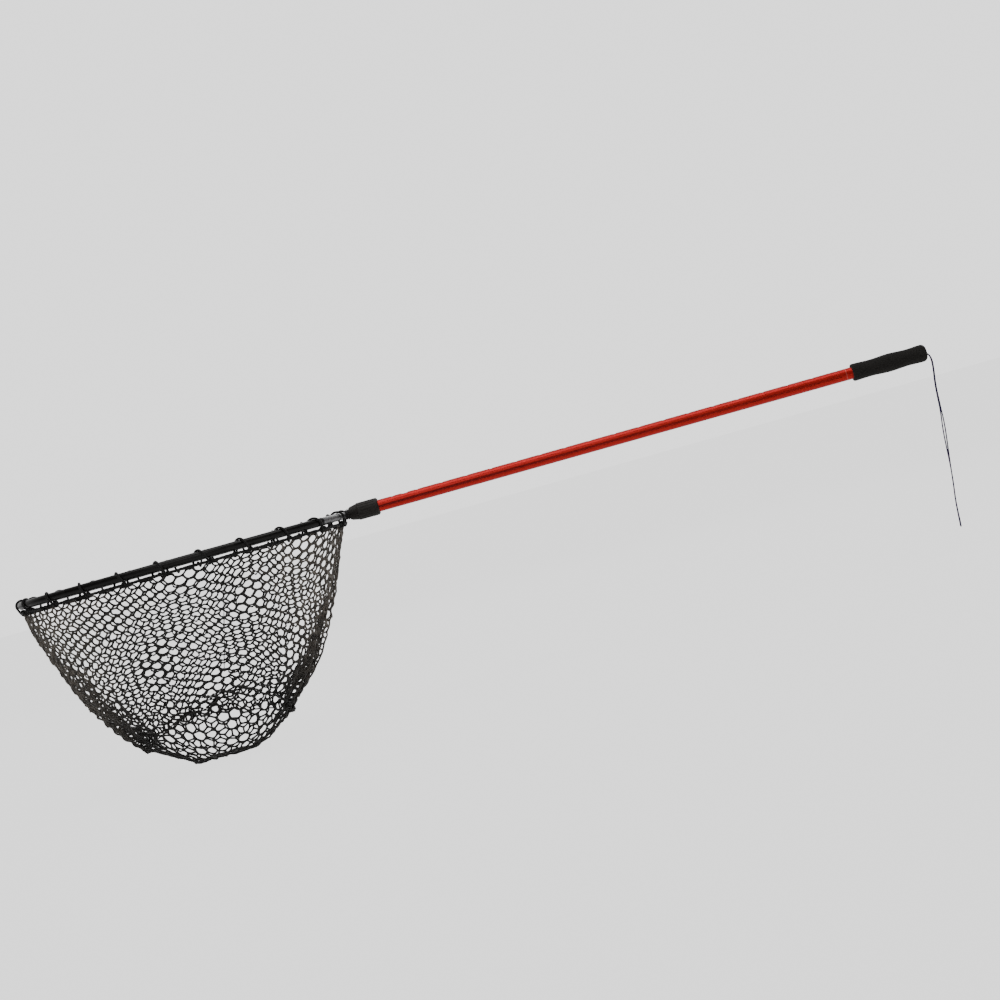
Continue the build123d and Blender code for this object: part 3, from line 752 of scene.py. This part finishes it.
def panel_lattice():
    """The bottom panel's cells, cut off at its rim: flat points, strands, and rim points."""
    a = PANEL_SIDE * 0.96  # the strands bow a little, so a cell's corners are nearer
    height = a * 3**0.5
    half_x, half_y = PANEL_FLAT
    reach = int(2 * max(PANEL_FLAT) / a)
    number, points, strands = {}, [], set()
    for i in range(-reach, reach + 1):
        for j in range(-reach, reach + 1):
            centre = (1.5 * a * i, (j + 0.5 * (i % 2)) * height)
            if abs(centre[0]) > 1.6 * half_x or abs(centre[1]) > 1.6 * half_y:
                continue
            ring = []
            for k in range(6):
                x = centre[0] + a * cos(radians(60 * k))
                y = centre[1] + a * sin(radians(60 * k))
                key = (round(x / a * 4), round(y / a * 4))
                if key not in number:
                    number[key] = len(points)
                    points.append((x, y))
                ring.append(number[key])
            strands |= {(min(p, q), max(p, q)) for p, q in zip(ring, ring[1:] + ring[:1])}
    p = np.array(points)
    # uneven cells, and rows that wander
    p = p + rng.normal(0, a * 0.10, p.shape)
    p = p + np.stack([9 * np.sin(p[:, 1] / 47 + 0.6) + 5 * np.sin(p[:, 0] / 31),
                      8 * np.sin(p[:, 0] / 53 + 1.1)], 1)
    c, s = cos(PANEL_TURN), sin(PANEL_TURN)
    p = p @ np.array([[c, s], [-s, c]])
    inside = np.hypot(p[:, 0] / half_x, p[:, 1] / half_y) < PANEL_REACH
    places, kept, rim = [tuple(q) for q in p], [], []
    for first, second in sorted(strands):
        if inside[first] and inside[second]:
            kept.append((first, second))
        elif inside[first] != inside[second]:
            inner, outer = (first, second) if inside[first] else (second, first)
            angle = atan2(p[outer, 1] / half_y, p[outer, 0] / half_x)
            rim.append(len(places))
            kept.append((inner, len(places)))
            places.append((half_x * cos(angle), half_y * sin(angle)))
    used = {k: n for n, k in enumerate(sorted({k for pair in kept for k in pair}))}
    return (np.array([places[k] for k in used]),
            [(used[p], used[q]) for p, q in kept], [used[k] for k in rim])


def on_panel(x, y):
    """Points of the hanging panel, from its plan."""
    depth = panel_depth(np.hypot(x, y * HALF_LENGTH / HALF_WIDTH))
    return np.stack([middle_at(depth) + x, y, -depth], -1)


def pulled(points, pairs, rest, slack, tight, share):
    """One round of moving points so that each pair's distance nears its rest length."""
    a, b = pairs[:, 0], pairs[:, 1]
    d = points[b] - points[a]
    length = np.linalg.norm(d, axis=1)
    error = np.where(length > rest * tight, length - rest * tight,
                     np.where(length < rest * slack, length - rest * slack, 0))
    c = d * (error / np.maximum(length, 1e-6))[:, None]
    count = np.maximum(np.bincount(pairs.ravel(), minlength=len(points)), 1)
    return np.stack([np.bincount(a, c[:, k], len(points)) - np.bincount(b, c[:, k], len(points))
                     for k in range(3)], 1) * (share / count)[:, None]


ROUNDS = 220
SAG = (-0.02, 0, -0.08)  # how far a loose point sinks in each round
RETURN = 0.05  # and the share of its way back to the bag's outline
# shortest and longest shares of the rest length, and the share of an error mended in a round
STRAND_PULL = 0.86, 1.0, 0.65
CORNER_PULL = 0.92, 1.08, 0.30


def hang_net():
    """The whole net's points, its wall and panel strands, and the panel's rim in order."""
    uv, wall, number = wall_lattice()
    places = wall_places(uv[:, 0], uv[:, 1])
    flat, panel, cut = panel_lattice()
    first = len(places)
    bottom = on_panel(flat[:, 0] * PANEL_PLAN[0] / PANEL_FLAT[0],
                      flat[:, 1] * PANEL_PLAN[1] / PANEL_FLAT[1]) + (0, 0, 1.5)
    places = np.vstack([places, bottom])
    panel = [(p + first, q + first) for p, q in panel]
    rim = [number[i, ROWS, end] for i in range(1, COLUMNS, 2) for end in (0, 1)]
    rim += [k + first for k in cut]
    centre = middle_at(PANEL_DEPTH)
    angle = np.arctan2(places[:, 1] / PANEL_PLAN[1], (places[:, 0] - centre) / PANEL_PLAN[0])
    rim.sort(key=lambda k: angle[k])
    target = places + rng.normal(0, 0.9, places.shape)
    target[rim] = on_panel(PANEL_PLAN[0] * np.cos(angle[rim]), PANEL_PLAN[1] * np.sin(angle[rim]))
    places[rim] = target[rim]
    rim_pairs = list(zip(rim, rim[1:] + rim[:1]))
    pairs = np.array(wall + panel + rim_pairs)
    rim_rest = np.linalg.norm(np.diff(places[np.array(rim_pairs)], axis=1)[:, 0], axis=1)
    rest = np.concatenate([np.full(len(wall), MESH_SIDE), np.full(len(panel), PANEL_SIDE),
                           np.maximum(rim_rest, 1.0)])
    # the coated strands keep their angles where they meet
    beside = [[] for _ in places]
    for p, q in wall + panel:
        beside[p].append(q)
        beside[q].append(p)
    corners = np.array([(p, q) for ends in beside for n, p in enumerate(ends) for q in ends[:n]])
    open_width = np.where(corners.min(1) < first, MESH_SIDE, PANEL_SIDE) * 3**0.5
    held = np.zeros(len(places), bool)
    held[[number[i, 0, end] for i in range(0, COLUMNS, 2) for end in (0, 1)]] = True
    loose = ~held
    for _ in range(ROUNDS):
        places[loose] += SAG
        places[loose] += RETURN * (target[loose] - places[loose])
        places[loose] += pulled(places, pairs, rest, *STRAND_PULL)[loose]
        places[loose] += pulled(places, corners, open_width, *CORNER_PULL)[loose]
    return places, wall, panel, rim


STRAND_RADIUS, JOINT_RADIUS, JOINT_REACH = 1.90, 2.08, 2.6
PANEL_RIM_RADIUS = 1.45
STRAND_SAG, STRAND_WOBBLE = (0, 0, -0.6), 0.55
RING = 6  # points round a strand


def outward_at(places):
    """Rough outward directions of the bag's surface."""
    heart = np.stack([middle_at(-places[:, 2]), 0 * places[:, 0],
                      np.maximum(places[:, 2], -230)], 1)
    out = places - heart
    return out / np.maximum(np.linalg.norm(out, axis=1), 1e-6)[:, None]


def strand_rings(places, outward, a, b, random):
    """Four rings of points round one strand, which sags a little, and its direction."""
    d = places[b] - places[a]
    length = np.linalg.norm(d)
    d = d / length
    reach = min(JOINT_REACH, 0.26 * length)
    bulge = np.array(STRAND_SAG) + random.normal(0, STRAND_WOBBLE, 3)
    slack = max(MESH_SIDE - length, 0)
    bulge = bulge * (0.55 + min(1.6, (0.375 * length * slack) ** 0.5))
    bulge -= d * np.dot(bulge, d)
    size = STRAND_RADIUS * random.uniform(0.94, 1.06)
    turn = np.arange(RING) * 2 * pi / RING
    rings = []
    for along_it, radius, bend in (
        (reach, JOINT_RADIUS, 0.12), (0.34 * length, size, 0.85),
        (0.66 * length, size, 0.85), (length - reach, JOINT_RADIUS, 0.12),
    ):
        t = along_it / length
        n = outward[a] * (1 - t) + outward[b] * t
        n = n - d * np.dot(n, d)
        n = n / max(np.linalg.norm(n), 1e-6)
        side = np.cross(d, n)
        centre = places[a] + d * along_it + bulge * bend
        rings.append(centre + radius * (np.cos(turn)[:, None] * n
                                        + np.sin(turn)[:, None] * side))
    return rings, d


def joint_faces(arms, n):
    """Faces that join the strands' end rings round one joint. An arm is (direction, ring)."""
    east = np.cross(n, (0.31, 0.22, 0.92))
    north = np.cross(n, east)
    arms.sort(key=lambda arm: atan2(np.dot(arm[0], north), np.dot(arm[0], east)))
    rings = [ring for _, ring in arms]
    if len(rings) == 1:
        return [tuple(rings[0][::-1])]
    faces = []
    for here, after in zip(rings, rings[1:] + rings[:1]):
        faces.append((here[0], here[5], after[1], after[0]))
        faces.append((here[5], here[4], after[2], after[1]))
        faces.append((here[4], here[3], after[3], after[2]))
    if len(rings) > 2:
        faces.append(tuple(ring[0] for ring in rings))
        faces.append(tuple(ring[3] for ring in rings[::-1]))
    return faces


def netting(name, places, outward, strands, seed):
    """Strands with a soft fillet where they meet, as one watertight skin."""
    random = np.random.default_rng(seed)
    points, faces, ends = [], [], {}
    for number, (a, b) in enumerate(strands):
        rings, d = strand_rings(places, outward, a, b, random)
        points += rings
        first = number * len(rings) * RING
        last = first + (len(rings) - 1) * RING
        for start in range(first, last, RING):
            for k in range(RING):
                m = (k + 1) % RING
                faces.append((start + k, start + m, start + RING + m, start + RING + k))
        # each end's ring, numbered as seen from its own joint
        ends.setdefault(a, []).append((d, [first + k for k in range(RING)]))
        ends.setdefault(b, []).append((-d, [last + (RING - k) % RING for k in range(RING)]))
    for joint, arms in ends.items():
        faces += joint_faces(arms, outward[joint])
    return add_mesh(name, np.vstack(points), faces, net_rubber)


def on_head(piece, slot, *replaced):
    """Hides the CAD nodes that a piece stands for, and puts the piece on the head. The slot is not
    used.
    """
    if replaced:
        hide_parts(*replaced)
    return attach(piece, "head")


places, wall, panel, rim = hang_net()
outward = outward_at(places)
near = [pair for pair in wall if places[list(pair), 1].mean() < 0]
far = [pair for pair in wall if places[list(pair), 1].mean() >= 0]
on_head(netting("net_near_wall", places, outward, near, 11), "net_mesh", "net_bag")
on_head(netting("net_far_wall", places, outward, far, 12), "net_mesh", "net_bag")
on_head(netting("net_bottom_panel", places, outward, panel, 13), "net_mesh", "net_bag")

panel_rim = tube_mesh(rounded(places[rim], 3, True), PANEL_RIM_RADIUS, 8, True)
on_head(joined_tubes("net_panel_rim", [panel_rim], net_rubber), "net_mesh")


# a seam's fine threads down the far wall, where the net's two edges are joined
SEAM_U, SEAM_LEAN, SEAM_DEPTHS = 396.0, 0.195, (50, 245)
SEAM_THREAD_RADIUS, SEAM_SWING = 0.55, 1.3
seam_depth = np.linspace(*SEAM_DEPTHS, 34)
threads = []
for side in (-1, 1):
    swing = side * SEAM_SWING * np.cos(np.arange(len(seam_depth)) * pi / 2)
    seam_line = bag_surface(SEAM_U + SEAM_LEAN * (seam_depth - 60) + swing, seam_depth)
    threads.append(tube_mesh(rounded(seam_line, 3, False), SEAM_THREAD_RADIUS, 6, False))
on_head(joined_tubes("net_seam_threads", threads, lacing_fibre), "net_mesh")


# ---- headrope: three strands twisted together --------------------------------------------------
ROPE_RADIUS, ROPE_TWIST_LENGTH, ROPE_STEPS = 2.55, 26, 900
ROPE_SWAY, ROPE_SWAYS = 0.35, 22
stations = np.arange(ROPE_STEPS) * PERIMETER / ROPE_STEPS
sway = ROPE_SWAY * np.sin(2 * pi * ROPE_SWAYS * stations / PERIMETER)
rope_line = by_hoop(stations, 0 * stations, HEADROPE_Z + sway)
rope = tube_mesh(rope_line, ROPE_RADIUS, 18, True, lobes=3, twist_length=ROPE_TWIST_LENGTH,
                 depth=0.22)
on_head(joined_tubes("headrope_strands", [rope], rope_fibre), "headrope_cord", "headrope")

# thin seizing that binds the net's top row to the headrope
SEIZING_TURNS, SEIZING_LENGTH, SEIZING_RADIUS = 4, 7.5, 0.45
SEIZING_HALF_WIDTH, SEIZING_HALF_HEIGHT, SEIZING_DROP = 3.3, 4.6, 1.7
t = np.linspace(0, 1, 40)
winding = 2 * pi * SEIZING_TURNS * t
wraps = []
for column in range(0, COLUMNS, 2):
    wrap = by_hoop(column * COLUMN_PITCH + (t - 0.5) * SEIZING_LENGTH,
                   SEIZING_HALF_WIDTH * np.sin(winding),
                   HEADROPE_Z - SEIZING_DROP + SEIZING_HALF_HEIGHT * np.cos(winding))
    wraps.append(tube_mesh(wrap, SEIZING_RADIUS, 6, False))
on_head(joined_tubes("net_seizing", wraps, lacing_fibre), "lacing_cord")


# ---- lacing: one cord that loops over the hoop and runs on along the headrope ------------------
LOOPS = 22
LACING_RADIUS = 2.25
# places along the hoop from each loop's middle: outward and height, or the angle round the tube
WRAP_RADIUS = 10.35
BEFORE = ((-22, 4.7, -14.8), (-19.4, 1.0, -19.8), (-17.4, -5.0, -16.2), (-16.2, -8.4, -9.5))
ROUND_TUBE = ((-15, 205), (-13.2, 180), (-11, 150), (-8, 120), (-4.5, 90), (-1.2, 60), (1.2, 30),
              (3.4, 0), (5.6, -28))
AFTER = ((8.2, 5.2, -13.6), (9.6, 0.2, -19.9), (10.6, -4.7, -16), (11.4, -3.2, -11.4),
         (13, 2.4, -10.8), (15.5, 4.7, -14.4))
LOOP_PATH = BEFORE + tuple(
    (s, WRAP_RADIUS * cos(radians(a)), WRAP_RADIUS * sin(radians(a))) for s, a in ROUND_TUBE
) + AFTER
LOOP_START, LOOP_END = BEFORE[0][0], AFTER[-1][0]
RUN_OUTWARD, RUN_DROP = 4.1, 0.6  # the cord between loops, beside the headrope
line = []
for loop in range(LOOPS):  # each loop stands and leans a little differently
    middle = PERIMETER * (loop + 0.5) / LOOPS + rng.normal(0, 1.5)
    lean = rng.uniform(0.8, 1.25)
    for s, out, z in LOOP_PATH:
        line.append(by_hoop(np.array(middle + lean * s), out, z + rng.normal(0, 0.12)))
    run = PERIMETER / LOOPS - (LOOP_END - LOOP_START)
    for share in (0.25, 0.5, 0.75):
        s = np.array(middle + LOOP_END + share * run)
        line.append(by_hoop(s, RUN_OUTWARD, HEADROPE_Z - RUN_DROP - rng.uniform(0, 0.8)))
lacing_line = rounded(np.array(line), 6, True)
lacing = joined_tubes("lacing_loops", [tube_mesh(lacing_line, LACING_RADIUS, 10, True)],
                      lacing_fibre)
on_head(lacing, "lacing_cord", "lacing")


# ---- button spring: wound anew between the head and the button ---------------------------------
SPRING_RADIUS, SPRING_WIRE_RADIUS, SPRING_TURNS = 4.2, 0.4, 5
spring_box = np.array(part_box("button_spring")) / MM
spring_x = spring_box[:, 0].mean()
spring_low, spring_high = spring_box[:, 2] + (SPRING_WIRE_RADIUS, -SPRING_WIRE_RADIUS)
wound = np.linspace(0, 2 * pi * SPRING_TURNS, 36 * SPRING_TURNS)
coil_line = np.stack([spring_x + SPRING_RADIUS * np.cos(wound), SPRING_RADIUS * np.sin(wound),
                      np.linspace(spring_low, spring_high, len(wound))], -1)
coil = joined_tubes("button_spring_coil", [tube_mesh(coil_line, SPRING_WIRE_RADIUS, 10, False)],
                    FINISHES["button_spring"])
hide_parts("button_spring")
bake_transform(coil)


# ---- floor, light ------------------------------------------------------------------------------
# strengths that the camera sees, and the share of the floor that glows rather than shades
SKY_SEEN, FLOOR_SEEN, FLOOR_GLOW = 1.75, 1.78, 0.88
# the sky's light on the net: dim behind the viewer, bright beyond the net
FRONT_LIGHT, BACK_LIGHT = 0.14, 0.95
FRONT_WAY, BACK_WAY = -0.2, 0.8
FLOOR_HALF, FLOOR_GAP = 40, 0.004


def pale_paper():
    """White paper that looks evenly bright to the camera."""
    s = Surface("pale_paper", (0.9, 0.9))
    s.shader.inputs["Base Color"].default_value = (0.9, 0.9, 0.9, 1)
    s.shader.inputs["Roughness"].default_value = 0.9
    glow = s.node("ShaderNodeEmission", Strength=FLOOR_SEEN)
    seen = s.node("ShaderNodeLightPath").outputs["Is Camera Ray"]
    mixed = s.node("ShaderNodeMixShader")
    s.feed((s.calc("MULTIPLY", seen, FLOOR_GLOW), s.shader.outputs[0], glow.outputs[0]),
           mixed.inputs)
    s.link(mixed.outputs[0], s.tree.nodes["Material Output"].inputs[0])
    return s.material


def lay_floor():
    z = min(cad_box[0][2], cad_box[1][2]) - FLOOR_GAP
    corners = [(x * FLOOR_HALF, y * FLOOR_HALF, z)
               for x, y in ((-1, -1), (1, -1), (1, 1), (-1, 1))]
    mesh = bpy.data.meshes.new("floor")
    mesh.from_pydata(corners, [], [(0, 1, 2, 3)])
    mesh.materials.append(pale_paper())
    floor = bpy.data.objects.new("floor", mesh)
    bpy.context.scene.collection.objects.link(floor)
    return floor


def studio():
    """A white sky that looks evenly bright, and lights the net from beyond it."""
    world = bpy.data.worlds.new("studio")
    world.use_nodes = True
    tree = world.node_tree
    sky = tree.nodes["Background"]
    sky.inputs["Color"].default_value = (1, 1, 1, 1)
    way = tree.nodes.new("ShaderNodeTexCoord").outputs["Generated"]
    split = tree.nodes.new("ShaderNodeSeparateXYZ")
    tree.links.new(way, split.inputs[0])
    room = tree.nodes.new("ShaderNodeMapRange")
    room.inputs["From Min"].default_value, room.inputs["From Max"].default_value = (
        FRONT_WAY, BACK_WAY)
    room.inputs["To Min"].default_value, room.inputs["To Max"].default_value = (
        FRONT_LIGHT, BACK_LIGHT)
    tree.links.new(split.outputs["Y"], room.inputs["Value"])
    seen = tree.nodes.new("ShaderNodeLightPath").outputs["Is Camera Ray"]
    brightness = tree.nodes.new("ShaderNodeMapRange")
    brightness.inputs["To Max"].default_value = SKY_SEEN
    tree.links.new(seen, brightness.inputs["Value"])
    tree.links.new(room.outputs["Result"], brightness.inputs["To Min"])
    tree.links.new(brightness.outputs["Result"], sky.inputs["Strength"])
    return world


floor = lay_floor()
bpy.context.scene.world = studio()


def softbox(name, place, aim, size, power):
    """A soft rectangular light that points at aim."""
    light = bpy.data.lights.new(name, "AREA")
    light.shape = "RECTANGLE"
    light.size, light.size_y = size
    light.energy = power
    lamp = bpy.data.objects.new(name, light)
    bpy.context.scene.collection.objects.link(lamp)
    lamp.location = place
    lamp.rotation_euler = (Vector(aim) - Vector(place)).to_track_quat("-Z", "Y").to_euler()


HEART = (-0.85, 0, -0.1)
softbox("top_box", (-0.85, -0.6, 2.6), HEART, (3.4, 1.6), 62)
softbox("front_box", (-1.2, -3.6, 1.8), HEART, (2.4, 1.4), 34)
softbox("back_box", (-0.6, 2.8, 1.6), HEART, (3.0, 1.6), 30)
